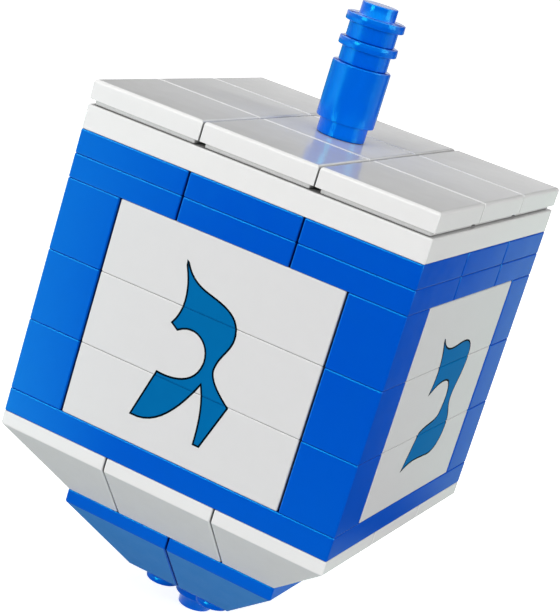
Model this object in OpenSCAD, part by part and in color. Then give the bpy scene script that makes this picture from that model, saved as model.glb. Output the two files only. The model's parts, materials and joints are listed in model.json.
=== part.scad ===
// A dreidel, the four-sided spinning top, built from interlocking plastic bricks.
// It stands on its tip: the tip's end is at z = 0 and the spin axis is +Z.
// The front side faces -Y and the right side faces +X.
// Below the panels the pieces are laid upside down, with their studs pointing down.

/* [Grid] */
// Distance from one stud to the next
pitch = 8; // [7.6:0.1:10]
// Height of a plate; a brick is three plates high
plate_h = 3.2; // [2.8:0.1:4.8]
// Gap that each side of a piece leaves to its grid line
side_gap = 0.1; // [0.05:0.05:0.2]
// Gap between a stud and the walls, tubes and posts round it
clutch_gap = 0.05; // [0.02:0.01:0.1]

/* [Studs and shells] */
// Thickness of the side walls of each hollow piece; a stud fills what they leave of a grid square
wall = 1.45; // [1.25:0.05:1.7]
// Height of a stud
stud_h = 1.7; // [1.4:0.1:1.9]
// Thickness of the closed end of each hollow piece
roof = 1; // [0.6:0.1:1.2]

/* [Sloping bricks] */
// Height of the upright edge at the wide end of a sloping brick
lip_h = 1.8; // [0.8:0.1:2.4]
// Thickness of the plastic behind a sloping face
slope_wall = 1.2; // [0.8:0.1:1.4]

/* [Tiles] */
// Height of the groove round the foot of a tile
groove_h = 0.65; // [0.3:0.05:0.9]
// Depth of the groove round the foot of a tile
groove_d = 0.6; // [0.3:0.05:1.1]

/* [Grip and tip] */
// Wall round the stud's bore in the narrow foot of a round grip piece
neck_wall = 0.8; // [0.4:0.05:1.1]
// Height of the narrow foot of a round grip piece
neck_h = 2.1; // [1.2:0.1:2.5]
// Height of the tip peg's shoulder, above the stud that it spins on
peg_h = 3.2; // [2.4:0.1:6]

/* [Axle] */
// Radius over the ends of the cross-shaped axle's arms
axle_r = 2.4; // [2:0.1:2.4]
// Width of one arm of the axle
axle_arm = 1.8; // [1.4:0.1:2.2]
// How far the axle stops short of the outer end of each axle brick
axle_inset = 1.6; // [0.4:0.1:3]

/* [Hidden] */
$fn = 48;

// Colours of the plastic
blue = "#0B55C4";
white = "#ECECEA";
black = "#1E2124";

// How far a cut runs past the face that it starts from
over = 0.5;
// How far two shapes that are joined run into each other
join = 0.3;

brick_h = 3 * plate_h;
// Radius of a stud, and of a bore that a stud goes into
stud_r = pitch / 2 - side_gap - wall - clutch_gap;
bore_r = stud_r + clutch_gap;
neck_r = bore_r + neck_wall;
// Radius of what fits between four studs: a tube, or the tip peg
tube_r = pitch / sqrt(2) - stud_r - clutch_gap;
// Radius of what fits between two studs of a one-wide brick
post_r = pitch / 2 - stud_r - clutch_gap;
// Radius of a round one-by-one piece and of a round two-by-two one
round_r = pitch / 2 - side_gap;
drum_r = pitch - side_gap;
// How far a sloping brick reaches from its middle, and how far its face runs for each unit of height
slope_edge = pitch - side_gap;
lean = pitch / (brick_h - lip_h);

// Where the four sides and the four corners lie, one quarter turn apart
SIDES = ["right", "back", "left", "front"];
CORNERS = ["back_right", "back_left", "front_left", "front_right"];
QUARTERS = [0:len(SIDES) - 1];
QUARTER_TURN = 90;
COURSES = ["bottom", "middle", "top"];
ROWS = [0:len(COURSES) - 1];

// Distance from the axis to the middle of an outer pair of rows, and to the outermost row
pair_at = 2 * pitch;
row_at = pair_at + pitch / 2;

// Heights at which the layers start, from the tip's end upwards
z_inner = stud_h + peg_h;
z_outer = z_inner + brick_h;
z_base = z_outer + brick_h;
z_wall = z_base + plate_h;
z_lower = z_wall + len(COURSES) * brick_h;
z_upper = z_lower + plate_h;
z_top = z_upper + plate_h;
z_tile = z_top + plate_h;
z_grip = z_tile + plate_h;
z_lower_disc = z_grip + brick_h;
z_upper_disc = z_lower_disc + plate_h;

function named(kind, places) = [for (place = places) str(kind, "_", place)];

// Puts a copy on each place of an nx by ny grid, centred on the axis
module on_grid(nx, ny) {
    for (i = [0:nx - 1], j = [0:ny - 1])
        translate([(i - (nx - 1) / 2) * pitch, (j - (ny - 1) / 2) * pitch, 0]) children();
}

// Turns a piece to quarter i and puts it at x, y and z before the turn
module at_quarter(i, x, y, z) {
    rotate([0, 0, QUARTER_TURN * i]) translate([x, y, z]) children();
}

// Lays a piece of height h upside down on the same foot
module upside_down(h) {
    translate([0, 0, h]) mirror([0, 0, 1]) children();
}

// A block over nx by ny grid squares, drawn in by inset on each side
module block(nx, ny, h, inset) {
    w = nx * pitch - 2 * inset;
    d = ny * pitch - 2 * inset;
    translate([-w / 2, -d / 2, 0]) cube([w, d, h]);
}

// The hollow under a block of height h
module hollow(nx, ny, h) {
    translate([0, 0, -over]) block(nx, ny, h - roof + over, side_gap + wall);
}

// Studs on top of a piece of height h
module studs(nx, ny, h) {
    translate([0, 0, h - join]) on_grid(nx, ny) cylinder(r = stud_r, h = stud_h + join);
}

// A tube that hangs from the roof of a piece of height h
module tube(h) {
    difference() {
        cylinder(r = tube_r, h = h - roof + join);
        translate([0, 0, -over]) cylinder(r = bore_r, h = h - roof + over);
    }
}

// What grips the studs inside a piece: tubes in a wide one, posts in a one-wide one
module grips(nx, ny, h) {
    if (nx > 1 && ny > 1) on_grid(nx - 1, ny - 1) tube(h);
    if (nx > 1 && ny == 1) on_grid(nx - 1, 1) cylinder(r = post_r, h = h - roof + join);
}

// A brick or plate, nx by ny studs and h high, open underneath
module brick(nx, ny, h) {
    difference() {
        block(nx, ny, h, side_gap);
        hollow(nx, ny, h);
    }
    grips(nx, ny, h);
    studs(nx, ny, h);
}

// A smooth two-by-two tile with a groove round its foot
module tile() {
    difference() {
        union() {
            block(2, 2, groove_h + join, side_gap + groove_d);
            translate([0, 0, groove_h]) block(2, 2, plate_h - groove_h, side_gap);
        }
        hollow(2, 2, plate_h);
    }
    grips(2, 2, plate_h);
}

// Section of a sloping brick in X and Z: its face leans back from +X by one grid square
slope_section = [[-slope_edge, 0], [slope_edge, 0], [slope_edge, lip_h],
                 [slope_edge - pitch, brick_h], [-slope_edge, brick_h]];

// How far the back of the sloping wall lies from the middle, at height z
function behind_slope(z) = slope_edge - (z - lip_h) * lean - slope_wall * sqrt(1 + lean * lean);

// Section of the hollow in a sloping brick, grown into its walls by grow
function slope_hollow(grow) =
    let (side = slope_edge - wall + grow,
         seat = stud_h + clutch_gap,
         ceiling = brick_h - roof + grow)
    [[-side, -over], [side, -over], [side, seat], [min(side, behind_slope(seat) + grow), seat],
     [behind_slope(ceiling) + grow, ceiling], [-side, ceiling]];

// Runs a section in X and Z along Y over a depth
module run_along(section, depth) {
    rotate([90, 0, 0]) linear_extrude(height = depth, center = true) polygon(section);
}

// What a section leaves when it faces both +X and +Y
module run_both_ways(section) {
    intersection() {
        run_along(section, 2 * pitch);
        rotate([0, 0, QUARTER_TURN]) run_along(section, 2 * pitch);
    }
}

// A brick that slopes on one side, with two studs left on its back row
module side_slope() {
    difference() {
        run_along(slope_section, 2 * slope_edge);
        run_along(slope_hollow(0), 2 * (slope_edge - wall));
    }
    intersection() {
        tube(brick_h);
        run_along(slope_hollow(join), 2 * slope_edge);
    }
    translate([-pitch / 2, 0, 0]) studs(1, 2, brick_h);
}

// A brick that slopes on two sides, with one stud left
module corner_slope() {
    difference() {
        run_both_ways(slope_section);
        run_both_ways(slope_hollow(0));
    }
    intersection() {
        tube(brick_h);
        run_both_ways(slope_hollow(join));
    }
    translate([-pitch / 2, -pitch / 2, 0]) studs(1, 1, brick_h);
}

// A round one-by-one piece of height h with a narrow foot and a bore for a stud
module round_piece(h) {
    difference() {
        union() {
            cylinder(r = neck_r, h = neck_h + join);
            translate([0, 0, neck_h]) cylinder(r = round_r, h = h - neck_h);
            studs(1, 1, h);
        }
        translate([0, 0, -over]) cylinder(r = bore_r, h = h - roof + over);
    }
}

// A cross-shaped bar, r over its arms
module cross(r, arm, length) {
    intersection() {
        cylinder(r = r, h = length);
        for (turn = [0, QUARTER_TURN])
            rotate([0, 0, turn]) translate([-pitch / 2, -arm / 2, 0]) cube([pitch, arm, length]);
    }
}

// A round two-by-two brick with a cross-shaped hole for the axle
module axle_brick() {
    difference() {
        union() {
            difference() {
                cylinder(r = drum_r, h = brick_h);
                translate([0, 0, -over]) cylinder(r = drum_r - wall, h = brick_h - roof + over);
            }
            cylinder(r = tube_r, h = brick_h - roof + join);
            intersection() {
                studs(2, 2, brick_h);
                cylinder(r = drum_r, h = brick_h + stud_h + over);
            }
        }
        translate([0, 0, -over])
            cross(axle_r + clutch_gap, axle_arm + 2 * clutch_gap, brick_h + 2 * over);
    }
}

module side_tile(i) {
    color(white) at_quarter(i, pair_at, 0, z_tile) tile();
}

module corner_tile(i) {
    color(white) at_quarter(i, pair_at, pair_at, z_tile) tile();
}

// The middle tile, which has one stud that the grip stands on
module jumper_tile() {
    color(white) translate([0, 0, z_tile]) {
        tile();
        studs(1, 1, plate_h);
    }
}

module top_plate() {
    color(white) translate([0, 0, z_top]) brick(6, 6, plate_h);
}

module side_plate(i, z) {
    color(blue) at_quarter(i, pair_at, 0, z) brick(2, 2, plate_h);
}

module corner_plate(i, z) {
    color(blue) at_quarter(i, pair_at, pair_at, z) brick(2, 2, plate_h);
}

// The lower plates in the middle of the four sides
module lower_side_plates() {
    for (i = QUARTERS) side_plate(i, z_lower);
}

// One course of the panel on a side, laid with its studs down
module panel(i, row) {
    color(white) at_quarter(i, row_at, 0, z_wall + row * brick_h)
        rotate([0, 0, QUARTER_TURN]) upside_down(brick_h) brick(4, 1, brick_h);
}

// The four bricks, one in each corner, of a course
module corner_bricks(row) {
    color(blue) for (i = QUARTERS)
        at_quarter(i, row_at, row_at, z_wall + row * brick_h)
            upside_down(brick_h) brick(1, 1, brick_h);
}

module base_plate() {
    color(blue) translate([0, 0, z_base]) upside_down(plate_h) brick(6, 6, plate_h);
}

module outer_side_slope(i) {
    color(white) at_quarter(i, pair_at, 0, z_outer) upside_down(brick_h) side_slope();
}

module outer_corner_slope(i) {
    color(white) at_quarter(i, pair_at, pair_at, z_outer) upside_down(brick_h) corner_slope();
}

// The brick that fills the middle of the outer slopes
module core_brick() {
    color(white) translate([0, 0, z_outer]) upside_down(brick_h) brick(2, 2, brick_h);
}

module inner_slope(i) {
    color(blue) at_quarter(i, pitch, pitch, z_inner) upside_down(brick_h) corner_slope();
}

// The peg that the top spins on, held by the four studs of the inner slopes
module tip_peg() {
    color(blue) {
        cylinder(r = stud_r, h = stud_h + join);
        translate([0, 0, stud_h]) cylinder(r = tube_r, h = peg_h);
    }
}

module upper_axle_brick() {
    color(blue) translate([0, 0, z_top - brick_h]) axle_brick();
}

module lower_axle_brick() {
    color(blue) translate([0, 0, z_wall]) upside_down(brick_h) axle_brick();
}

// The axle that ties the upright upper layers to the upside-down lower ones
module axle() {
    color(black) translate([0, 0, z_wall + axle_inset])
        cross(axle_r, axle_arm, z_top - z_wall - 2 * axle_inset);
}

module grip_brick() {
    color(blue) translate([0, 0, z_grip]) round_piece(brick_h);
}

module lower_disc() {
    color(blue) translate([0, 0, z_lower_disc]) round_piece(plate_h);
}

module upper_disc() {
    color(blue) translate([0, 0, z_upper_disc]) round_piece(plate_h);
}

for (i = QUARTERS) {
    side_tile(i);
    corner_tile(i);
    side_plate(i, z_upper);
    corner_plate(i, z_upper);
    corner_plate(i, z_lower);
    for (row = ROWS)
        panel(i, row);
    outer_side_slope(i);
    outer_corner_slope(i);
    inner_slope(i);
}
for (row = ROWS)
    corner_bricks(row);
lower_side_plates();
jumper_tile();
top_plate();
base_plate();
core_brick();
tip_peg();
upper_axle_brick();
lower_axle_brick();
axle();
grip_brick();
lower_disc();
upper_disc();
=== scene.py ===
# %% [markdown]
# A dreidel is a four-sided spinning top. This one is put together from interlocking plastic bricks:
# a cube of blue bricks with a white panel and a printed game letter on each side, a lid of white
# tiles with a round grip on it, and two rings of sloping bricks that come down to the tip.
# The construction is already solid and exact, so this script only dresses it. Every piece is drawn
# again as it leaves the mould, with softened edges, and gets the finish of its plastic.

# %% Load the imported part
import json

import bmesh
import bpy
import numpy as np
from mathutils import Matrix, Quaternion, Vector

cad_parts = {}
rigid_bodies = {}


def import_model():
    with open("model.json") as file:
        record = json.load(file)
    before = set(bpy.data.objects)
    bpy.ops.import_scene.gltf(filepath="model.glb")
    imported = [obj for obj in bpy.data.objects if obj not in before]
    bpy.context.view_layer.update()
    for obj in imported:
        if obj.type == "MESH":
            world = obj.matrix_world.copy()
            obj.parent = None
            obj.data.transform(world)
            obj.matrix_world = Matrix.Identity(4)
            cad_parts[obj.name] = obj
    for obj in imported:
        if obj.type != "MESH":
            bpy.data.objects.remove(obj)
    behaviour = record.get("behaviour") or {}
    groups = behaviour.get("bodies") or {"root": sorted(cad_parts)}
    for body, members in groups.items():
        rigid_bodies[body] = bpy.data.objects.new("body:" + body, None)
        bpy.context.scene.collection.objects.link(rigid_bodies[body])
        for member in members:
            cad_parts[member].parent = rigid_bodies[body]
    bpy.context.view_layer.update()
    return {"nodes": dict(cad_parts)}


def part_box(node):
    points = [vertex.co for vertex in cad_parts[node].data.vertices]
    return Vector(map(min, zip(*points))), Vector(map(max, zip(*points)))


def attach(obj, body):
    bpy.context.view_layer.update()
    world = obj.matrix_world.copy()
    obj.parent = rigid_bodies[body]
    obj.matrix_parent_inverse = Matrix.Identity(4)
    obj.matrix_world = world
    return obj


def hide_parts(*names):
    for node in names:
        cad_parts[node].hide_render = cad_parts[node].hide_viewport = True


for left_over in list(bpy.data.objects):
    bpy.data.objects.remove(left_over)
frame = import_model()

# %% [markdown]
# All lengths below are in millimetres, because that is how such bricks are measured. They turn into
# Blender's metres only when an array of points becomes a mesh. The grid is the same for every brick
# of this kind: a stud every 8 mm, and heights in steps of 3.2 mm. What the script needs of the
# heights it reads from the frame, so each piece sits where its solid is. Every side stands GAP back
# from the grid, a bore leaves CLUTCH round its stud, and a stud starts SUNK deep in the roof.

# %% The brick grid
MM = 0.001
PITCH = 8.0
PLATE = 3.2
BRICK = 3 * PLATE
GAP = 0.1
WALL = 1.45
ROOF = 1.0
STUD_R = 2.4
STUD_H = 1.7
CLUTCH = 0.05
BORE_R = STUD_R + CLUTCH
TUBE_R = PITCH / np.sqrt(2) - BORE_R
POST_R = PITCH / 2 - BORE_R
SUNK = 0.3
STUDS_WIDE = 6

SIDES = ["right", "back", "left", "front"]
CORNERS = ["back_right", "back_left", "front_left", "front_right"]
COURSES = ["bottom", "middle", "top"]
PAIR_AT = 2 * PITCH
ROW_AT = PAIR_AT + PITCH / 2


def foot_of(node, studs_down=False):
    """The height in mm at which the body of a CAD node starts, above any studs that point down."""
    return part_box(node)[0].z / MM + STUD_H * studs_down


print("the walls start at", round(foot_of("bottom_panel_front", True), 2), "mm above the tip")

# %% [markdown]
# A moulded edge is never sharp. The steel it is cast in has a small radius, and that sliver of
# curve is what catches the light along every seam. Here it is about a fifth of a millimetre, more
# round the top of a tile and less round its sides. The edges are part of each surface's formula, as
# quarter circles in its profile, so no bevel has to guess where they go. An inner corner gets a
# small slanted fillet, which also keeps the shading of the two faces that meet there apart. An
# upright corner is UPRIGHT times as round as the edges next to it, and one inside a hollow has the
# radius HOLLOW_R.

# %% Edges and how finely they are drawn
EDGE = 0.18
TILE_EDGE = 0.4
CRISP_EDGE = 0.08
FILLET = 0.06
UPRIGHT = 1.2
HOLLOW_R = 0.3
EDGE_STEPS = 3
CORNER_STEPS = 3
ROUND_STEPS = 28
GRIP_STEPS = 72
quarter = np.linspace(0, np.pi / 2, EDGE_STEPS + 1)
arc_in = 1 - np.sin(quarter)
arc_up = 1 - np.cos(quarter)
print("an edge's insets on its way up, in mm:", (EDGE * arc_in).round(3))

# %% [markdown]
# Nearly every brick is one idea: a rounded rectangle that is carried along a profile. The profile
# starts at the edge of the hollow's ceiling, runs down the inner wall, turns round the rim and climbs
# the outside to the top. One flat face closes each end, so the shell is one closed skin with an
# inside. A list of rings holds it: each has its four bounds, its corner radius and its height.


# %% Rings to skin
def skin(rings_xyz):
    """Joins rings of points, an array (rings, points, 3), into a closed skin.
    Quads run from each ring to the next, and the first and last ring are closed by one flat face.
    A ring that turns anticlockwise and climbs has its faces outwards."""
    rings, points, _ = rings_xyz.shape
    index = np.arange(rings * points).reshape(rings, points)
    here, there = index[:-1], index[1:]
    quads = np.stack([here, np.roll(here, -1, 1), np.roll(there, -1, 1), there], -1).reshape(-1, 4)
    return rings_xyz.reshape(-1, 3), [*quads.tolist(), index[0][::-1].tolist(), index[-1].tolist()]


def box_rings(x0, x1, y0, y1, corner, z):
    """Rounded rectangles as rings. For each ring a point is the centre of its corner's arc plus
    corner * (cos t, sin t), where t turns once round in four quarter arcs."""
    turn = (np.linspace(0, np.pi / 2, CORNER_STEPS + 1) + np.arange(4)[:, None] * np.pi / 2).ravel()
    which = np.repeat(np.arange(4), CORNER_STEPS + 1)
    east, north = np.isin(which, [0, 3]), np.isin(which, [0, 1])
    x0, x1, y0, y1, corner, z = [np.asarray(v, float)[:, None] for v in np.broadcast_arrays(
        x0, x1, y0, y1, corner, z)]
    x = np.where(east, x1 - corner, x0 + corner) + corner * np.cos(turn)
    y = np.where(north, y1 - corner, y0 + corner) + corner * np.sin(turn)
    return np.stack([x, y, np.broadcast_to(z, x.shape)], -1)


def round_rings(radius, z, steps):
    """Circles as rings: a point is (radius * cos t, radius * sin t, z), the way a lathe turns."""
    t = np.arange(steps) * 2 * np.pi / steps
    radius, z = np.asarray(radius, float)[:, None], np.asarray(z, float)[:, None]
    x, y = radius * np.cos(t), radius * np.sin(t)
    return np.stack([x, y, np.broadcast_to(z, x.shape)], -1)


def turned(profile, steps=ROUND_STEPS):
    """A lathed skin from a list of (radius, height) pairs."""
    radius, z = np.array(profile).T
    return skin(round_rings(radius, z, steps))


# %% Put skins together
def moved(part, x=0.0, y=0.0, z=0.0):
    """The skin, shifted."""
    points, faces = part
    return points + np.array([x, y, z]), faces


def upside_down(part, height):
    """The skin mirrored in height on the same foot, its faces turned round to point outwards again."""
    points, faces = part
    return points * [1, 1, -1] + [0, 0, height], [face[::-1] for face in faces]


def quarter_turned(part, quarters):
    """The skin turned about the spin axis by whole quarters: (x, y) becomes (-y, x) each time."""
    points, faces = part
    for _ in range(quarters % 4):
        points = points[:, [1, 0, 2]] * [-1, 1, 1]
    return points, faces


def together(*parts):
    """Several closed skins as one list of points and faces."""
    points, faces, start = [], [], 0
    for some_points, some_faces in parts:
        points.append(some_points)
        faces += [[i + start for i in face] for face in some_faces]
        start += len(some_points)
    return np.concatenate(points), faces


def on_grid(part, nx, ny):
    """One copy of the skin on each place of an nx by ny grid of studs."""
    xs, ys = (np.arange(nx) - (nx - 1) / 2) * PITCH, (np.arange(ny) - (ny - 1) / 2) * PITCH
    return together(*[moved(part, x, y) for x in xs for y in ys])


print("a round skin of two rings:", len(turned([(STUD_R, 0), (STUD_R, STUD_H)])[0]), "points")


# %% [markdown]
# Under the skin a real brick is mostly air. Studs stand on its roof, and tubes or posts hang inside
# to grip the studs of its neighbour. Each of these is a small turned skin that is sunk a little
# into the roof. They are all drawn, so that any piece that is taken off the model is complete.


# %% Studs, tubes and posts
def rod(radius, low, high, edge, steps=ROUND_STEPS):
    """A turned bar with a quarter round of radius edge at its upper end."""
    rim = [(radius - edge * up, high - edge + edge * (1 - inward))
           for up, inward in zip(arc_up, arc_in)]
    return turned([(radius, low), *rim], steps)


def stud(height):
    """The stud on a piece of that height."""
    return rod(STUD_R, height - SUNK, height + STUD_H, EDGE)


def tube(height):
    """The open tube that hangs from the roof of a piece of that height."""
    top = height - ROOF + SUNK
    profile = [(BORE_R, top), (BORE_R, EDGE), (BORE_R + EDGE, 0), (TUBE_R - EDGE, 0), (TUBE_R, EDGE),
               (TUBE_R, top)]
    points, faces = turned(profile)
    last = len(points) - ROUND_STEPS
    ring = [[i, (i + 1) % ROUND_STEPS, last + (i + 1) % ROUND_STEPS, last + i]
            for i in range(ROUND_STEPS)]
    return points, [*faces[:-2], *[face[::-1] for face in ring]]


def grips(nx, ny, height):
    """What grips the neighbour's studs: tubes in a wide piece, posts in a one-wide one."""
    if nx > 1 and ny > 1:
        return [on_grid(tube(height), nx - 1, ny - 1)]
    if nx > 1:
        return [on_grid(upside_down(rod(POST_R, -SUNK, height - ROOF, EDGE), height - ROOF), nx - 1, 1)]
    return []


tubes = grips(STUDS_WIDE, STUDS_WIDE, PLATE)[0]
print("tubes under the widest plate:", len(tubes[0]) // len(tube(PLATE)[0]))


# %% Brick and tile
GROOVE_H, GROOVE_D = 0.65, 0.6
# The middle of a quarter round lies about this part of its radius inside the corner.
MID_ARC = 0.3


def shell(nx, ny, height, edge, foot_edge, shy=0.0, groove=(0.0, 0.0)):
    """A brick without studs. Its outside is inset by edge * (1 - sin t) at edge * (1 - cos t) below
    its top, and likewise by foot_edge round the rim. groove is the (height, depth) of a step round
    its foot, and shy draws all its sides in by that much."""
    groove_h, groove_d = groove
    half_x, half_y = nx * PITCH / 2 - GAP - shy, ny * PITCH / 2 - GAP - shy
    wall = WALL - shy
    inside = [(wall, height - ROOF, HOLLOW_R), (wall, EDGE, HOLLOW_R), (wall - EDGE, 0, HOLLOW_R + EDGE)]
    step = [(groove_d + EDGE, 0, EDGE), (groove_d + MID_ARC * EDGE, MID_ARC * EDGE, EDGE),
            (groove_d, EDGE, EDGE), (groove_d, groove_h - FILLET, EDGE),
            (groove_d - FILLET, groove_h, EDGE)] if groove_h else []
    low = [(foot_edge * i, groove_h + foot_edge * u, foot_edge * (UPRIGHT - i))
           for i, u in zip(arc_in, arc_up)]
    high = [(edge * i, height - edge * u, foot_edge * (UPRIGHT - i))
            for i, u in zip(arc_in[::-1], arc_up[::-1])]
    inset, z, corner = np.array([*inside, *step, *low, *high]).T
    return skin(box_rings(inset - half_x, half_x - inset, inset - half_y, half_y - inset, corner, z))


def brick(nx, ny, height, shy=0.0):
    """A brick or plate, nx by ny studs."""
    return together(shell(nx, ny, height, EDGE, EDGE, shy), on_grid(stud(height), nx, ny),
                    *grips(nx, ny, height))


def tile():
    """A smooth two-by-two tile with a groove round its foot, which lets a fingernail lift it."""
    return together(shell(2, 2, PLATE, TILE_EDGE, CRISP_EDGE, groove=(GROOVE_H, GROOVE_D)),
                    *grips(2, 2, PLATE))


print("points in a tile:", len(tile()[0]), "and in a 2 by 2 plate:", len(brick(2, 2, PLATE)[0]))


# %% [markdown]
# A sloping brick is the same skin, but its bounds move with the height. Its section has an upright
# lip, a face that leans back by one stud, and a narrow top. The section's corners are rounded by
# arcs first, and each ring then reads its bound off that outline at its own height.


# %% Sloping brick
LIP_H = 1.8
SLOPE_WALL = 1.2
SLOPE_EDGE = PITCH - GAP
LIP_EDGE = 2 * EDGE
LEAN = PITCH / (BRICK - LIP_H)


def rounded_corner(before, corner, after, radius, steps=4):
    """The arc of that radius that touches both lines at a corner. It starts radius * tan(half the
    turn) before the corner, and its points lie at the centre minus radius times the turned normal."""
    before, corner, after = [np.array(p, float) for p in (before, corner, after)]
    coming, going = corner - before, after - corner
    coming, going = coming / np.linalg.norm(coming), going / np.linalg.norm(going)
    turn = np.arctan2(coming[0] * going[1] - coming[1] * going[0], coming @ going)
    start = corner - coming * radius * np.tan(abs(turn) / 2)
    normal = np.array([-coming[1], coming[0]]) * np.sign(turn)
    t = np.linspace(0, turn, steps + 1)[:, None]
    swung = np.cos(t) * normal + np.sin(t) * np.array([-normal[1], normal[0]])
    return start + radius * normal - radius * swung


def slope_outline():
    """The outer line of the section, from the rim up the lip and the face to the top: (x, z) points."""
    rim, lip = (SLOPE_EDGE, 0), (SLOPE_EDGE, LIP_H)
    brow, back = (SLOPE_EDGE - PITCH, BRICK), (-SLOPE_EDGE, BRICK)
    foot = [(SLOPE_EDGE - EDGE * i, EDGE * u) for i, u in zip(arc_in, arc_up)]
    return np.concatenate([foot, rounded_corner(rim, lip, brow, LIP_EDGE),
                           rounded_corner(lip, brow, back, EDGE)])


def behind_slope(z):
    """How far the back of the sloping wall lies from the middle, at height z: the face's own place
    less the wall, which counts sqrt(1 + LEAN^2) times because it is cut level."""
    return SLOPE_EDGE - (z - LIP_H) * LEAN - SLOPE_WALL * np.sqrt(1 + LEAN * LEAN)


def slope(faces_y):
    """A brick whose face leans back from +X, and with faces_y also from +Y. On a leaning side each ring
    reaches as far as the outline does at its height. On the others its inset is r - sqrt(r^2 - (r - d)^2),
    where r is the edge's radius and d the way to the nearest end."""
    seat = STUD_H + CLUTCH
    side = SLOPE_EDGE - WALL
    ceiling = BRICK - ROOF
    in_z = np.array([ceiling, seat, seat, EDGE, 0])
    in_x = np.array([behind_slope(ceiling), min(side, behind_slope(seat)), side, side, side + EDGE])
    in_inset = np.array([WALL, WALL, WALL, WALL, WALL - EDGE])
    line = slope_outline()
    out_z = np.unique(np.concatenate([line[:, 1], BRICK - EDGE * arc_up]).round(6))
    out_x = np.interp(out_z, line[:, 1], line[:, 0])
    nearest = np.minimum(out_z, BRICK - out_z)
    out_inset = EDGE - np.sqrt(EDGE ** 2 - np.clip(EDGE - nearest, 0, EDGE) ** 2)
    z, reach = np.concatenate([in_z, out_z]), np.concatenate([in_x, out_x])
    inset = np.concatenate([in_inset, out_inset])
    corner = np.concatenate([np.full(len(in_z), HOLLOW_R), UPRIGHT * EDGE - out_inset])
    north = reach if faces_y else SLOPE_EDGE - inset
    rings = box_rings(inset - SLOPE_EDGE, reach, inset - SLOPE_EDGE, north, corner, z)
    studs = [(-PITCH / 2, -PITCH / 2)] if faces_y else [(-PITCH / 2, y) for y in (-PITCH / 2, PITCH / 2)]
    return together(skin(rings), *[moved(stud(BRICK), x, y) for x, y in studs])


print("the face leans back", round(np.degrees(np.arctan(LEAN)), 1), "degrees")


# %% [markdown]
# The grip is a round one-by-one brick with two round plates on top, and the tip is a peg. They are
# turned, like chess pieces: one profile from the bore, round the foot and up to the stud. The foot
# is narrower than the barrel, which is why the grip looks like a stack of collars.

# %% Round pieces
FOOT_WALL = 0.8
FOOT_R = BORE_R + FOOT_WALL
FOOT_H = 2.1
BARREL_R = PITCH / 2 - GAP
RIM_EDGE = 0.14


def round_edge(radius, z, edge, upper):
    """A quarter round from the side of a barrel onto its end: (radius - edge * u, z -+ edge * i)."""
    if upper:
        return [(radius - edge * i, z - edge * u) for i, u in zip(arc_in[::-1], arc_up[::-1])]
    return [(radius - edge * i, z + edge * u) for i, u in zip(arc_in, arc_up)]


def round_piece(height):
    """A round one-by-one brick or plate of that height with its stud and its bore."""
    profile = [(BORE_R, height - ROOF), (BORE_R, EDGE), (BORE_R + EDGE, 0)]
    profile += round_edge(FOOT_R, 0, EDGE, False)
    profile += [(FOOT_R, FOOT_H - FILLET), (FOOT_R + FILLET, FOOT_H)]
    profile += round_edge(BARREL_R, FOOT_H, RIM_EDGE, False)
    profile += round_edge(BARREL_R, height, RIM_EDGE, True)
    profile += [(STUD_R + FILLET, height), (STUD_R, height + FILLET)]
    profile += round_edge(STUD_R, height + STUD_H, EDGE, True)
    return turned(profile, GRIP_STEPS)


def peg(shoulder_h):
    """The tip: a stud that points down, with a shoulder that is plugged between four studs."""
    profile = round_edge(STUD_R, 0, EDGE, False) + [(STUD_R, STUD_H - FILLET), (STUD_R + FILLET, STUD_H)]
    profile += round_edge(TUBE_R, STUD_H, EDGE, False)
    profile += round_edge(TUBE_R, STUD_H + shoulder_h, EDGE, True)
    return turned(profile, GRIP_STEPS)


print("the foot of the grip is", round(2 * FOOT_R, 2), "mm wide and its barrel", 2 * BARREL_R, "mm")


# %% [markdown]
# The plastic is ABS, moulded under pressure in polished steel. It is glossy and dense in colour, but
# never a perfect mirror: the surface sinks a few hundredths of a millimetre over the thicker parts,
# so reflections wander a little, and there is a faint grain from the steel. The leaning faces of the
# sloping bricks were etched in the mould, which leaves a fine sand-like grit and a dull look. The
# etched blue is paler than the polished blue, and the etched white greyer than the polished white.
# Where walls come close together the colour is darkened: this is painted shade, and those thin dark
# lines are most of what makes the bricks look separate. The panels are a greyer white than the lid, and
# the grip is a brighter blue than the walls. The reflection that each shows head-on is tinted
# towards its own colour, and dimmed on the whites, so that a white room doesn't wash them out. Real
# gloss has no such tint.


# %% Colours and nodes
def colour_of(hex_text):
    """The linear colour of an sRGB hex value: below 0.04045 c / 12.92, else ((c + 0.055) / 1.055)^2.4."""
    c = np.array([int(hex_text[i:i + 2], 16) for i in (1, 3, 5)]) / 255
    return (*np.where(c <= 0.04045, c / 12.92, ((c + 0.055) / 1.055) ** 2.4).tolist(), 1.0)


def add(tree, kind, values=None, **settings):
    """Adds a node of that kind with its settings. values gives its sockets by name or number, and a
    value that is another node's socket is linked."""
    made = tree.nodes.new(kind)
    for key, value in settings.items():
        setattr(made, key, value)
    for key, value in (values or {}).items():
        if isinstance(value, bpy.types.NodeSocket):
            tree.links.new(value, made.inputs[key])
        else:
            made.inputs[key].default_value = value
    return made


def material(name):
    """A new material with an empty tree and its output node."""
    made = bpy.data.materials.new(name)
    made.use_nodes = True
    made.node_tree.nodes.clear()
    return made, made.node_tree, made.node_tree.nodes.new("ShaderNodeOutputMaterial")


# %% Moulded plastic
ABS_IOR = 1.53
# A noise hardly leaves this range.
NOISE_FROM, NOISE_TO = 0.3, 0.7
SINK_MM, SINK_DEPTH_MM = 7.0, 0.02
# The grain is drawn coarser than the real one, which is too fine to show.
GRAIN_MM, GRAIN_DEPTH_MM = 0.25, 0.0008
FLOW_MM = 2.2
# The roughness of a face falls and rises by these as the melt flowed.
SMOOTHER, ROUGHER = 0.03, 0.04
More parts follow.
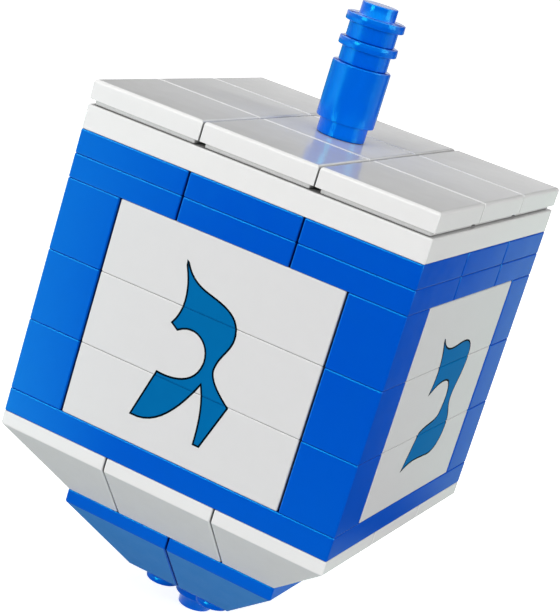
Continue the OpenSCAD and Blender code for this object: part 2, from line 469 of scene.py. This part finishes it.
# Painted shade leaves SEAM_TONE of a colour where CLOSED_SKY of the sky or less is in sight, GROOVE_TONE
# at SEAM_SKY and all of it from OPEN_SKY.
SEAM_MM = 1.0
CLOSED_SKY, SEAM_SKY, OPEN_SKY = 0.04, 0.16, 0.8
SEAM_TONE, GROOVE_TONE = 0.03, 0.5
SKY_RAYS = 8


def moulded_abs(name, colour, shade, roughness, grit=0.0, glint="#FFFFFF", seam=SEAM_MM):
    """Moulded ABS. Its colour wanders between two close tones as the melt flowed, and painted shade
    darkens it where walls closer than seam mm shut out the sky: by half or less in a groove,
    and almost to black in a seam that sees less than SEAM_SKY of it. Its roughness follows the
    steel's polish, and its bump adds sink marks to a grain of GRAIN_MM. With grit the grain is that
    many mm deep, as on an etched face. glint is the colour of its head-on reflection."""
    made, tree, output = material(name)
    place = add(tree, "ShaderNodeTexCoord").outputs["Object"]
    flow = add(tree, "ShaderNodeTexNoise", {"Vector": place, "Scale": 1 / (FLOW_MM * MM), "Detail": 3.0})
    sink = add(tree, "ShaderNodeTexNoise", {"Vector": place, "Scale": 1 / (SINK_MM * MM), "Detail": 1.0})
    grain = add(tree, "ShaderNodeTexNoise", {"Vector": place, "Scale": 1 / (GRAIN_MM * MM), "Detail": 4.0})
    tone = add(tree, "ShaderNodeMix", {0: flow.outputs["Fac"], 6: colour_of(colour), 7: colour_of(shade)},
               data_type="RGBA")
    # Painted shade: the Ambient Occlusion node darkens the colour where walls stand close.
    sky = add(tree, "ShaderNodeAmbientOcclusion", {"Distance": seam * MM}, samples=SKY_RAYS).outputs["AO"]
    deep = add(tree, "ShaderNodeMapRange", {"Value": sky, "From Min": CLOSED_SKY, "From Max": SEAM_SKY,
                                            "To Min": SEAM_TONE, "To Max": GROOVE_TONE})
    wide = add(tree, "ShaderNodeMapRange", {"Value": sky, "From Min": SEAM_SKY, "From Max": OPEN_SKY,
                                            "To Min": 0.0, "To Max": 1 - GROOVE_TONE})
    painted_shade_factor = add(tree, "ShaderNodeMath", {0: deep.outputs["Result"], 1: wide.outputs["Result"]},
                operation="ADD")
    seam_shaded = add(tree, "ShaderNodeMix", {0: 1.0, 6: tone.outputs[2], 7: painted_shade_factor.outputs[0]},
                data_type="RGBA", blend_type="MULTIPLY")
    polish = add(tree, "ShaderNodeMapRange", {"Value": flow.outputs["Fac"], "From Min": NOISE_FROM,
                                              "From Max": NOISE_TO, "To Min": roughness - SMOOTHER,
                                              "To Max": roughness + ROUGHER})
    low = add(tree, "ShaderNodeBump", {"Height": sink.outputs["Fac"], "Strength": 1.0,
                                       "Distance": SINK_DEPTH_MM * MM})
    fine = add(tree, "ShaderNodeBump", {"Height": grain.outputs["Fac"], "Strength": 1.0,
                                        "Distance": (grit or GRAIN_DEPTH_MM) * MM,
                                        "Normal": low.outputs["Normal"]})
    shader = add(tree, "ShaderNodeBsdfPrincipled", {"Base Color": seam_shaded.outputs[2],
                                                    "Roughness": polish.outputs["Result"],
                                                    "IOR": ABS_IOR, "Specular Tint": colour_of(glint),
                                                    "Normal": fine.outputs["Normal"]})
    tree.links.new(shader.outputs["BSDF"], output.inputs["Surface"])
    return made


POLISHED, WORN, SATIN, ETCHED = 0.14, 0.18, 0.3, 0.6
GRIT_MM = 0.02
NO_SEAM_MM = 0.01
GREY, AQUA, PALE_AQUA = "#B0B0B0", "#20F0FF", "#60E0FF"
white_abs = moulded_abs("white_abs_polished", "#E9E9E8", "#E6E6E5", POLISHED, glint=GREY)
panel_abs = moulded_abs("white_abs_panel", "#DCDCDC", "#D9D9D9", WORN, glint=GREY)
blue_abs = moulded_abs("blue_abs_polished", "#0052CB", "#0050C7", POLISHED, glint=AQUA)
black_abs = moulded_abs("black_abs_polished", "#1E2124", "#1A1D20", SATIN)
white_etched = moulded_abs("white_abs_etched", "#D0D0CF", "#CCCCCB", ETCHED, grit=GRIT_MM)
blue_etched = moulded_abs("blue_abs_etched", "#3578C0", "#3174BC", ETCHED, grit=GRIT_MM, glint=PALE_AQUA)
grip_abs = moulded_abs("blue_abs_bright", "#0060DC", "#005ED8", POLISHED, glint=AQUA)
# The tip gets almost no painted shade, so that the floor just under its end doesn't darken it.
tip_abs = moulded_abs("blue_abs_tip_unshaded", "#0052CB", "#0050C7", POLISHED, glint=AQUA, seam=NO_SEAM_MM)
print("materials:", sorted(m.name for m in bpy.data.materials))

# %% [markdown]
# Each skin now becomes an object. Its points already lie at their place in the shared frame, so the
# object itself stays at the origin. The arcs of the edges are shaded smooth, and the Weighted Normal
# modifier keeps the large flat faces flat. The piece then stands for its CAD node.

# %% From skin to piece
PLASTICS = {"white_plastic": (white_abs, white_etched), "blue_plastic": (blue_abs, blue_etched)}
# A large face that leans has a normal whose downward part lies between these two.
LEANS_FROM, LEANS_TO = 0.6, 0.8
LARGE_MM2 = 20
FLAT_WEIGHT = 90


def piece(name, skin_mm, slot, node, body="block", plastics=None):
    """Makes the object, with its large leaning faces etched and the rest of it polished."""
    points, faces = skin_mm
    mesh = bpy.data.meshes.new(name)
    mesh.from_pydata((points * MM).tolist(), [], faces)
    mesh.shade_smooth()
    for plastic in plastics or PLASTICS[slot]:
        mesh.materials.append(plastic)
    normals = np.empty(len(mesh.polygons) * 3)
    areas = np.empty(len(mesh.polygons))
    mesh.polygons.foreach_get("normal", normals)
    mesh.polygons.foreach_get("area", areas)
    down = -normals.reshape(-1, 3)[:, 2]
    leaning = (down > LEANS_FROM) & (down < LEANS_TO) & (areas > LARGE_MM2 * MM * MM)
    mesh.polygons.foreach_set("material_index", leaning.astype(np.int32))
    made = bpy.data.objects.new(name, mesh)
    bpy.context.scene.collection.objects.link(made)
    made.modifiers.new("flat faces stay flat", "WEIGHTED_NORMAL").weight = FLAT_WEIGHT
    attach(made, body)
    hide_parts(node)


def at_quarter(part, quarters, x, y, z):
    """The skin put at x, y and z and then turned by whole quarters."""
    return quarter_turned(moved(part, x, y, z), quarters)


# %% The lid: tiles, the jumper tile and the white plate
for i, (side, corner) in enumerate(zip(SIDES, CORNERS)):
    z = foot_of(f"tile_{side}")
    piece(f"{side}_tile", at_quarter(tile(), i, PAIR_AT, 0, z), "white_plastic", f"tile_{side}")
    piece(f"{corner}_tile", at_quarter(tile(), i, PAIR_AT, PAIR_AT, z), "white_plastic", f"tile_{corner}")
piece("middle_tile", moved(together(tile(), stud(PLATE)), z=foot_of("jumper_tile")), "white_plastic",
      "jumper_tile")
piece("lid_plate", moved(brick(STUDS_WIDE, STUDS_WIDE, PLATE), z=foot_of("top_plate")), "white_plastic",
      "top_plate")

# %% The walls: plates, panels and corner bricks
# The panels stand back by two steps. The rim of a mark fills one and its ink the other, so that the
# ink ends flush with the bricks round it.
PRINT_STEP = 0.01
for i, (side, corner) in enumerate(zip(SIDES, CORNERS)):
    z = foot_of(f"upper_plate_{side}")
    piece(f"{side}_upper_plate", at_quarter(brick(2, 2, PLATE), i, PAIR_AT, 0, z), "blue_plastic",
          f"upper_plate_{side}")
    piece(f"{corner}_upper_plate", at_quarter(brick(2, 2, PLATE), i, PAIR_AT, PAIR_AT, z),
          "blue_plastic", f"upper_plate_{corner}")
    piece(f"{corner}_lower_plate", at_quarter(brick(2, 2, PLATE), i, PAIR_AT, PAIR_AT, z - PLATE),
          "blue_plastic", f"lower_plate_{corner}")
    for course in COURSES:
        node = f"{course}_panel_{side}"
        lying = quarter_turned(upside_down(brick(4, 1, BRICK, 2 * PRINT_STEP), BRICK), 1)
        piece(f"{side}_{course}_panel", at_quarter(lying, i, ROW_AT, 0, foot_of(node, True)),
              "white_plastic", node, plastics=(panel_abs,))

piece("side_lower_plates", together(*[at_quarter(brick(2, 2, PLATE), i, PAIR_AT, 0,
                                                 foot_of("lower_side_plates")) for i in range(4)]),
      "blue_plastic", "lower_side_plates")
for course in COURSES:
    node = f"{course}_corner_bricks"
    post = upside_down(brick(1, 1, BRICK), BRICK)
    piece(f"{course}_posts", together(*[at_quarter(post, i, ROW_AT, ROW_AT, foot_of(node, True))
                                        for i in range(4)]), "blue_plastic", node)
base = upside_down(brick(STUDS_WIDE, STUDS_WIDE, PLATE), PLATE)
piece("floor_plate", moved(base, z=foot_of("base_plate", True)), "blue_plastic", "base_plate")

# %% The underside: two rings of slopes and the tip
side_slope = upside_down(slope(False), BRICK)
corner_slope = upside_down(slope(True), BRICK)
for i, (side, corner) in enumerate(zip(SIDES, CORNERS)):
    z_outer, z_inner = foot_of(f"outer_slope_{side}", True), foot_of(f"inner_slope_{corner}", True)
    piece(f"{side}_slope", at_quarter(side_slope, i, PAIR_AT, 0, z_outer), "white_plastic",
          f"outer_slope_{side}")
    piece(f"{corner}_slope", at_quarter(corner_slope, i, PAIR_AT, PAIR_AT, z_outer), "white_plastic",
          f"outer_slope_{corner}")
    piece(f"{corner}_inner_slope", at_quarter(corner_slope, i, PITCH, PITCH, z_inner),
          "blue_plastic", f"inner_slope_{corner}")
piece("tip", peg(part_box("tip_peg")[1].z / MM - STUD_H), "blue_plastic", "tip_peg", "tip", (tip_abs,))

# %% The grip
for name, node, body, height in [("grip_barrel", "grip_brick", "grip", BRICK),
                                 ("lower_collar", "lower_disc", "lower_ring", PLATE),
                                 ("upper_collar", "upper_disc", "upper_ring", PLATE)]:
    piece(name, moved(round_piece(height), z=foot_of(node)), "blue_plastic", node, body, (grip_abs,))

# %% [markdown]
# The four marks say what a player wins: all, half, nothing, or pay in. They are pad printed in one
# ink with a thin dark rim, across the three courses of each panel. Here a mark is an outline of a
# few lines and curves, drawn in the panel's own plane with its middle at zero. It is filled flat, cut
# at the seams, and bent round the soft edges of each brick as ink is, then given a thin body.

# %% The four marks
# Each outline is a start and its moves: a pair is the end of a line, and three pairs are the two
# handles and the end of a curve. x runs to the right and y up, in mm from the panel's middle.
GIMEL = [[(-5.0, 10.6),
          [(-4.2, 8.9), (-3.0, 7.9), (-0.9, 7.4)], [(1.6, 6.8), (4.0, 6.2), (3.9, 3.4)],
          [(3.8, 1.8), (2.5, 0.8), (2.4, -1.2)], [(2.5, -2.8), (4.6, -4.2), (5.6, -5.0)],
          (3.5, -10.9), (2.9, -10.9), [(2.9, -7.6), (2.5, -5.2), (1.5, -3.2)],
          [(-0.4, -7.2), (-2.8, -10.9), (-6.4, -10.6)], (-4.6, -4.4),
          [(-2.6, -4.6), (0.9, -4.2), (1.2, -0.8)], [(1.3, 1.9), (-1.4, 3.6), (-3.6, 1.9)],
          (-4.4, 2.4), [(-3.0, 4.6), (-3.4, 7.8), (-5.0, 10.6)]]]
NUN = [[(-6.2, 9.2), [(-5.0, 7.4), (-2.8, 6.6), (0.4, 7.1)], [(3.4, 7.6), (6.3, 7.6), (6.6, 4.8)],
        [(6.8, 2.4), (5.0, 1.2), (4.9, -0.9)], [(4.9, -2.6), (6.9, -3.4), (6.9, -5.2)],
        [(6.9, -7.4), (5.2, -8.5), (3.3, -8.6)], [(0.2, -8.6), (-3.0, -8.0), (-5.8, -9.2)],
        (-3.6, -4.6), [(-1.6, -3.7), (1.4, -4.0), (2.3, -3.0)], [(3.2, -1.4), (3.4, 0.7), (1.9, 2.0)],
        [(0.2, 3.0), (-2.8, 2.4), (-4.7, 1.3)], [(-3.5, 3.4), (-3.9, 6.6), (-6.2, 9.2)]]]
HEI = [[(-6.6, 9.4), [(-5.4, 7.4), (-2.8, 6.8), (0.8, 7.1)], [(4.4, 7.4), (6.4, 7.0), (6.6, 4.2)],
        [(6.7, 0.6), (5.4, -2.0), (5.8, -5.0)], [(6.0, -7.2), (6.4, -8.6), (6.2, -10.4)],
        (3.4, -9.2), [(2.6, -5.6), (3.2, -0.4), (2.4, 2.2)], [(1.4, 3.2), (-2.6, 3.0), (-5.2, 2.6)],
        [(-4.6, 4.8), (-4.8, 7.4), (-6.6, 9.4)]],
       [(-5.6, 0.6), [(-4.2, 0.2), (-3.0, 0.1), (-1.8, 0.9)], [(-2.0, -2.4), (-1.4, -6.2), (-2.2, -9.2)],
        (-4.8, -10.4), [(-4.2, -6.8), (-4.4, -2.6), (-5.6, 0.6)]]]
SHIN = [[(-7.4, 8.8), (-4.4, 7.8), [(-4.6, 3.4), (-3.6, -1.6), (-2.6, -4.4)],
         [(-1.4, -3.0), (-0.9, 1.0), (-1.4, 4.8)], (-2.4, 8.4), (1.2, 7.6),
         [(1.6, 3.4), (1.0, -1.6), (-0.2, -5.4)], [(2.2, -5.0), (3.9, -1.2), (3.8, 3.6)],
         (2.9, 8.6), (7.2, 7.8), [(7.9, 2.6), (6.8, -4.4), (3.6, -8.6)],
         [(1.4, -10.6), (-1.6, -10.6), (-3.4, -9.4)], [(-6.2, -4.6), (-6.2, 2.6), (-7.4, 8.8)]]]
MARKS = {"front": GIMEL, "right": NUN, "left": HEI, "back": SHIN}


def outline_points(start_and_moves, steps=12):
    """The outline as points. A curve with ends a, d and handles b, c runs through
    (1-t)^3 a + 3 (1-t)^2 t b + 3 (1-t) t^2 c + t^3 d."""
    start, *moves = start_and_moves
    path = [np.array([start], float)]
    t = np.linspace(0, 1, steps + 1)[1:, None]
    for move in moves:
        if isinstance(move, tuple):
            path.append(np.array([move], float))
        else:
            a, (b, c, d) = path[-1][-1], np.array(move, float)
            path.append((1 - t) ** 3 * a + 3 * (1 - t) ** 2 * t * b + 3 * (1 - t) * t ** 2 * c + t ** 3 * d)
    points = np.concatenate(path)
    return points[:-1] if np.allclose(points[0], points[-1]) else points


REACH = 2
HAIRPIN = 0.05


def grown(points, width):
    """A closed outline moved outwards by width: each point goes along the sum of its two edges'
    normals, divided by 1 + their product or by HAIRPIN if that is more, and a sharp tip goes no
    further than REACH * width."""
    edge = np.roll(points, -1, 0) - points
    area = (points[:, 0] * np.roll(points, -1, 0)[:, 1] - np.roll(points, -1, 0)[:, 0] * points[:, 1]).sum()
    normal = np.stack([edge[:, 1], -edge[:, 0]], 1) / np.linalg.norm(edge, axis=1)[:, None] * np.sign(area)
    before = np.roll(normal, 1, 0)
    out = (normal + before) / np.maximum(1 + (normal * before).sum(1), HAIRPIN)[:, None]
    length = np.linalg.norm(out, axis=1)[:, None]
    return points + width * out * np.minimum(1, REACH / np.maximum(length, 1))


# %% Ink
INK_BODY = 0.06
RIM_WIDTH = 0.26
# The ink is cut at these distances from a seam and ends at the first.
SEAM_CUTS = [0.002, 0.02, 0.06, 0.11, EDGE]
FILM_MM, FILM_DEPTH_MM = 1.6, 0.002
INK_SMOOTH, INK_ROUGH = 0.14, 0.2
INK_IOR = 1.08


def printed_course(outlines, low, high, front):
    """The part of the outlines between the heights low and high, in a bmesh: filled, cut near both
    seams, and set back there by r - sqrt(r^2 - (r - d)^2), where d is the way to the seam and r the
    edge's radius. y is minus the distance from the axis."""
    ink = bmesh.new()
    for outline in outlines:
        whole = ink.faces.new([ink.verts.new((x, 0, y)) for x, y in outline])
        whole.normal_update()
        bmesh.ops.triangulate(ink, faces=[whole], ngon_method="BEAUTY")
    for end, out in [(low, -1), (high, 1)]:
        for cut in SEAM_CUTS:
            bmesh.ops.bisect_plane(ink, geom=ink.verts[:] + ink.edges[:] + ink.faces[:],
                                   plane_co=(0, 0, end - out * cut), plane_no=(0, 0, out),
                                   clear_outer=cut == SEAM_CUTS[0])
    for vert in ink.verts:
        to_seam = min(vert.co.z - low, high - vert.co.z, EDGE)
        vert.co.y = EDGE - np.sqrt(EDGE ** 2 - (EDGE - to_seam) ** 2) - front
    ink.normal_update()
    bmesh.ops.reverse_faces(ink, faces=[face for face in ink.faces if face.normal.y > 0])
    return ink


def pad_print(name, colour, shade):
    """Pad-printing ink: thin, dense and a little duller than the plastic under it, with a film that
    varies slightly from the pad's pressure. Its IOR is far below a real ink's 1.5, which keeps the
    pale room out of its dark colour."""
    made, tree, output = material(name)
    place = add(tree, "ShaderNodeTexCoord").outputs["Object"]
    film = add(tree, "ShaderNodeTexNoise", {"Vector": place, "Scale": 1 / (FILM_MM * MM), "Detail": 4.0})
    tone = add(tree, "ShaderNodeMix", {0: film.outputs["Fac"], 6: colour_of(colour),
                                       7: colour_of(shade)}, data_type="RGBA")
    polish = add(tree, "ShaderNodeMapRange", {"Value": film.outputs["Fac"], "From Min": NOISE_FROM,
                                              "From Max": NOISE_TO, "To Min": INK_SMOOTH,
                                              "To Max": INK_ROUGH})
    bump = add(tree, "ShaderNodeBump", {"Height": film.outputs["Fac"],
                                        "Distance": FILM_DEPTH_MM * MM})
    shader = add(tree, "ShaderNodeBsdfPrincipled", {"Base Color": tone.outputs[2],
                                                    "Roughness": polish.outputs["Result"],
                                                    "IOR": INK_IOR,
                                                    "Specular Tint": colour_of("#50F0FF"),
                                                    "Normal": bump.outputs["Normal"]})
    tree.links.new(shader.outputs["BSDF"], output.inputs["Surface"])
    return made


inks = {"letter_ink": pad_print("pad_print_blue", "#046AA8", "#0366A4"),
        "letter_outline": pad_print("pad_print_black", "#06141C", "#051018")}
print("inks:", sorted(inks))

# %% Print the marks
wall_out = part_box("middle_panel_front")[0].y / -MM
wall_low = foot_of("bottom_panel_front", True)
wall_mid = wall_low + len(COURSES) * BRICK / 2
for quarters, side in enumerate(["front", "right", "back", "left"]):
    marks = [outline_points(mark) + [0, wall_mid] for mark in MARKS[side]]
    layers = [("letter_ink", marks, wall_out),
              ("letter_outline", [grown(mark, RIM_WIDTH) for mark in marks], wall_out - PRINT_STEP)]
    for slot, outlines, front in layers:
        for row, course in enumerate(COURSES):
            low = wall_low + row * BRICK
            ink = printed_course(outlines, low, low + BRICK, front)
            ink.transform(Matrix.Rotation(quarters * np.pi / 2, 4, "Z") @ Matrix.Scale(MM, 4))
            mesh = bpy.data.meshes.new(f"{side}_{course}_{slot}")
            ink.to_mesh(mesh)
            ink.free()
            mesh.materials.append(inks[slot])
            made = bpy.data.objects.new(mesh.name, mesh)
            bpy.context.scene.collection.objects.link(made)
            body = made.modifiers.new("body of the ink", "SOLIDIFY")
            body.thickness = INK_BODY * MM
            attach(made, "block")

# %% [markdown]
# Inside the walls an axle ties the upright upper layers to the upside-down lower ones, and a brick
# fills the middle of the slopes. Nobody sees them in the whole dreidel, so their solids stay as they
# are and only take on their plastics.

# %% Hidden pieces keep their solids
for node, plastic in [("core_brick", white_abs), ("upper_axle_brick", blue_abs),
                      ("lower_axle_brick", blue_abs), ("axle", black_abs)]:
    for place in frame["nodes"][node].material_slots:
        place.material = plastic
    print(node, "takes on", plastic.name)

# %% [markdown]
# The camera stands where the photographer's did. Its place comes from the known size of the bricks:
# it is the one place from which all their edges fall where the picture has them. It looks down on
# the lid a little, and the picture is tilted, so the dreidel leans as if it were about to fall.

# %% Camera
AIM_MM = (-0.94, -0.03, 44.48)
DISTANCE_MM = 245.07
AZIMUTH, ELEVATION, ROLL = np.radians([21.44, 14.74, -17.252])
LENS, SENSOR = 107.462, 36.0


def direction(azimuth, elevation):
    """The unit vector from the dreidel to a point at that azimuth, 0 in front, and elevation."""
    return Vector((np.sin(azimuth) * np.cos(elevation), -np.cos(azimuth) * np.cos(elevation),
                   np.sin(elevation)))


camera = bpy.data.objects.new("camera", bpy.data.cameras.new("camera"))
bpy.context.scene.collection.objects.link(camera)
away = direction(AZIMUTH, ELEVATION)
camera.location = (Vector(AIM_MM) + away * DISTANCE_MM) * MM
camera.rotation_mode = "QUATERNION"
camera.rotation_quaternion = (-away).to_track_quat("-Z", "Y") @ Quaternion((0, 0, 1), -ROLL)
camera.data.lens = LENS
camera.data.sensor_width = SENSOR
camera.data.clip_start, camera.data.clip_end = 0.01, 10.0
bpy.context.scene.camera = camera
print("camera in mm:", [round(c / MM, 1) for c in camera.location])

# %% [markdown]
# The light is a plain studio: a soft key lamp low in front, a weak wide one high at the left, one low
# at the right for the far side, and an even glow all round. A low key lights the upright sides most
# and the lid least. A lamp's level is what a white surface that faces it shows, so the levels can be
# added up by hand, and a white side comes out at about nine tenths.

# %% Lamps
def lamp(name, azimuth, elevation, distance_mm, size_mm, level):
    """A square soft lamp. A white surface that faces it at the dreidel shows that level, so its power
    in watts is level * (pi * distance)^2."""
    made = bpy.data.objects.new(name, bpy.data.lights.new(name, "AREA"))
    bpy.context.scene.collection.objects.link(made)
    away = direction(np.radians(azimuth), np.radians(elevation))
    made.location = (Vector(AIM_MM) + away * distance_mm) * MM
    made.rotation_mode = "QUATERNION"
    made.rotation_quaternion = (-away).to_track_quat("-Z", "Y")
    made.data.shape = "SQUARE"
    made.data.size = size_mm * MM
    made.data.energy = level * (np.pi * distance_mm * MM) ** 2
    made.visible_camera = False
    print(name, "has", round(made.data.energy, 2), "W")


LAMP_MM = 900
lamp("key_lamp", azimuth=-23, elevation=12, distance_mm=LAMP_MM, size_mm=350, level=0.55)
lamp("top_lamp", azimuth=-38, elevation=62, distance_mm=LAMP_MM, size_mm=600, level=0.14)
lamp("side_lamp", azimuth=92, elevation=14, distance_mm=LAMP_MM, size_mm=500, level=0.52)

# %% [markdown]
# The room is white to the camera, but it lights the dreidel with only three tenths of that, or the
# whites would clip. In reflections its ceiling is about four times as bright as its walls. Flat sides
# never mirror that ceiling from here, but the round upper edges do, which draws a light line along
# each level seam.

# %% World
GLOW = 0.3
WHITE = 1.0
SKY_WHITE = 4.2
# The ceiling starts and is fully there where a direction climbs by these parts of its length.
SKY_FROM, SKY_TO = 0.28, 0.45
world = bpy.data.worlds.new("studio")
world.use_nodes = True
tree = world.node_tree
tree.nodes.clear()
path = add(tree, "ShaderNodeLightPath").outputs
toward = add(tree, "ShaderNodeTexCoord").outputs["Generated"]
climb = add(tree, "ShaderNodeSeparateXYZ", {0: toward}).outputs[2]
sky = add(tree, "ShaderNodeMapRange", {"Value": climb, "From Min": SKY_FROM, "From Max": SKY_TO,
                                       "To Min": WHITE, "To Max": SKY_WHITE})
in_sight = add(tree, "ShaderNodeMath", {0: path["Is Camera Ray"], 1: path["Is Transmission Ray"]},
               operation="MAXIMUM").outputs[0]
plain = add(tree, "ShaderNodeMapRange", {"Value": in_sight, "To Min": GLOW, "To Max": WHITE})
strength = add(tree, "ShaderNodeMix", {0: path["Is Glossy Ray"], 2: plain.outputs[0],
                                       3: sky.outputs[0]})
glow = add(tree, "ShaderNodeBackground", {"Color": (1, 1, 1, 1), "Strength": strength.outputs[0]})
add(tree, "ShaderNodeOutputWorld", {"Surface": glow.outputs[0]})
bpy.context.scene.world = world
print("a white surface gets", GLOW, "from the room")

# %% [markdown]
# The floor is white paper that takes the dreidel's shadow. Where the camera or a reflection sees it, it
# also glows, so that it is nearly as white as the room, and from below it can be looked through.

# %% Floor
FLOOR_MM = 20000.0
FLOOR_Z_MM = -0.02
FLOOR_GLOW = 0.75
floor_mesh = bpy.data.meshes.new("studio_floor")
half = FLOOR_MM * MM / 2
below = FLOOR_Z_MM * MM
floor_mesh.from_pydata([(-half, -half, below), (half, -half, below), (half, half, below),
                        (-half, half, below)], [], [(0, 1, 2, 3)])
studio_floor = bpy.data.objects.new("studio_floor", floor_mesh)
bpy.context.scene.collection.objects.link(studio_floor)
paper, tree, output = material("white_paper")
matt = add(tree, "ShaderNodeBsdfDiffuse", {"Color": colour_of("#F2F2F2")}).outputs[0]
lit = add(tree, "ShaderNodeEmission", {"Color": (1, 1, 1, 1), "Strength": FLOOR_GLOW}).outputs[0]
bright = add(tree, "ShaderNodeAddShader", {0: matt, 1: lit}).outputs[0]
path = add(tree, "ShaderNodeLightPath").outputs
mirrored = add(tree, "ShaderNodeMath", {0: path["Is Glossy Ray"], 1: path["Is Transmission Ray"]},
               operation="MAXIMUM").outputs[0]
direct = add(tree, "ShaderNodeMath", {0: path["Is Camera Ray"], 1: mirrored},
             operation="MAXIMUM").outputs[0]
from_above = add(tree, "ShaderNodeMixShader", {0: direct, 1: matt, 2: bright}).outputs[0]
clear = add(tree, "ShaderNodeBsdfTransparent").outputs[0]
back = add(tree, "ShaderNodeNewGeometry").outputs["Backfacing"]
seen = add(tree, "ShaderNodeMixShader", {0: back, 1: from_above, 2: clear}).outputs[0]
tree.links.new(seen, output.inputs["Surface"])
floor_mesh.materials.append(paper)
print("the floor is", FLOOR_MM * MM, "m wide")

# %% [markdown]
# Glossy sides mirror what stands round them, and in an all-white room every side would turn pale. So
# two cards shape what they mirror, as in a photographer's studio, and only reflections see them. The
# table card is nearly black, with a bright strip at the front left that lightens the front towards
# that side, and paler patches where the far right side and the slopes look. The dim far end of the
# strip is what the left edge of the grip mirrors, and it is a pure sky blue, or that edge would turn
# lilac. The back card is what the lid mirrors: pale at the foot, which gives its far edge a lighter
# tone, grey above, and white high up, where only round edges look, so that each rim gets its fine
# light line.

# %% Cards
def card(name, points_mm, shade):
    """A card that only reflections see: a grid of points with the linear colour that each shows."""
    rows, columns, _ = points_mm.shape
    index = np.arange(rows * columns).reshape(rows, columns)
    quads = np.stack([index[:-1, :-1], index[1:, :-1], index[1:, 1:], index[:-1, 1:]], -1)
    mesh = bpy.data.meshes.new(name)
    mesh.from_pydata((points_mm.reshape(-1, 3) * MM).tolist(), [], quads.reshape(-1, 4).tolist())
    rgba = np.concatenate([shade, np.ones((rows, columns, 1))], -1)
    mesh.attributes.new("shade", "FLOAT_COLOR", "POINT").data.foreach_set("color", rgba.ravel())
    made = bpy.data.objects.new(name, mesh)
    bpy.context.scene.collection.objects.link(made)
    made.visible_camera = made.visible_diffuse = made.visible_shadow = False
    made.visible_transmission = made.visible_volume_scatter = False
    surface, tree, output = material(name)
    colour = add(tree, "ShaderNodeAttribute", attribute_name="shade").outputs["Color"]
    tree.links.new(add(tree, "ShaderNodeEmission", {"Color": colour}).outputs[0], output.inputs["Surface"])
    mesh.materials.append(surface)


def fade(value, start, end, low, high):
    """low up to start, high from end, and an even rise between them."""
    return low + (high - low) * np.clip((value - start) / (end - start), 0, 1)


# %% [markdown]
# The shade of a card is worked out at each of its points from fades along lengths in mm and angles in
# degrees. Fades that are multiplied draw a patch that ends softly on each side. The table card is a
# disc with a hole for the tip. Its angles start at the front and turn to the left or to the right.

# %% The table card
CARD_MM = 900
CARD_UP_MM = 0.05
CARD_RINGS, CARD_SPOKES = 91, 241
HOLE_R_MM = 4
DARK = 0.03
MINT = np.array([0.65, 1.0, 0.85])
# The first ring lies at the edge of the hole, and the last spoke on the first, which closes the disc.
radii = np.maximum(np.linspace(0, CARD_MM, CARD_RINGS), HOLE_R_MM)
ring = round_rings(radii, np.full(CARD_RINGS, CARD_UP_MM), CARD_SPOKES)
ring[:, -1] = ring[:, 0]
x, y = ring[..., 0], ring[..., 1]
far = np.hypot(x, y)
to_left = np.degrees(np.arctan2(-x, -y))
to_right = np.degrees(np.arctan2(x, y))
# The strip lightens the front towards its left, and loses its red towards its far end.
strip = fade(to_left, 23, 37, 0, 3.4) * fade(to_left, 45, 90, 1, 0.2) * fade(to_left, 120, 150, 1, 0)
strip *= fade(far, 60, 85, 0, 1)
red = fade(to_left, 45, 70, 0.7, 0.1)
strip_tint = np.stack([red, np.ones_like(red), np.ones_like(red)], -1)
# One patch lightens the foot of the front, and one the slopes and the tip.
near = fade(far, 70, 170, 0.5, 0) * fade(y, -60, -20, 1, 0)
under = fade(far, 40, 70, 0.45, 0)
# The far half of the right side mirrors what lies left of a line that runs back from its middle.
from_middle = 25 + 0.287 * y
behind = fade(from_middle - x, -4, 16, 0, 0.5) * fade(y, 60, 90, 0, 1) * fade(x, -60, -10, 0, 1)
# The right edge of the grip mirrors this one.
beside = fade(to_right, 32, 44, 0, 0.9) * fade(far, 180, 260, 0, 1) * (x > 0) * (y > 0)
patches = (DARK + near + under + behind + beside)[..., None] * MINT
shade = patches + strip[..., None] * strip_tint
card("table_card", ring, shade)
print("the table card's shade runs from", shade.min().round(3), "to", shade.max().round(3))

# %% The back card
BACK_Y_MM = 800.0
BACK_COLUMNS, BACK_ROWS = 61, 91
BACK_DARK = 0.05
across, up = np.meshgrid(np.linspace(-CARD_MM, CARD_MM, BACK_COLUMNS),
                         np.linspace(0, CARD_MM, BACK_ROWS))
# The pale foot fades out to the right of the middle, and the white top runs all the way.
foot = fade(up, 192, 226, 0.95, 0.25) + fade(up, 226, 290, 0, -0.2)
tone = BACK_DARK + foot * fade(across, 0, 90, 1, 0)
tone += fade(up, 330, 420, 0, 1)
card("back_card", np.stack([across, np.full_like(across, BACK_Y_MM), up], -1),
     tone[..., None] * np.ones(3))
print("the back card's tone runs from", tone.min().round(3), "to", tone.max().round(3))

# %% [markdown]
# Blender's default view softens bright colours as film does, which would turn the white bricks grey.
# The Standard view shows each colour as it was worked out.

# %% How colours are shown
bpy.context.scene.view_settings.view_transform = "Standard"
print("view transform:", bpy.context.scene.view_settings.view_transform)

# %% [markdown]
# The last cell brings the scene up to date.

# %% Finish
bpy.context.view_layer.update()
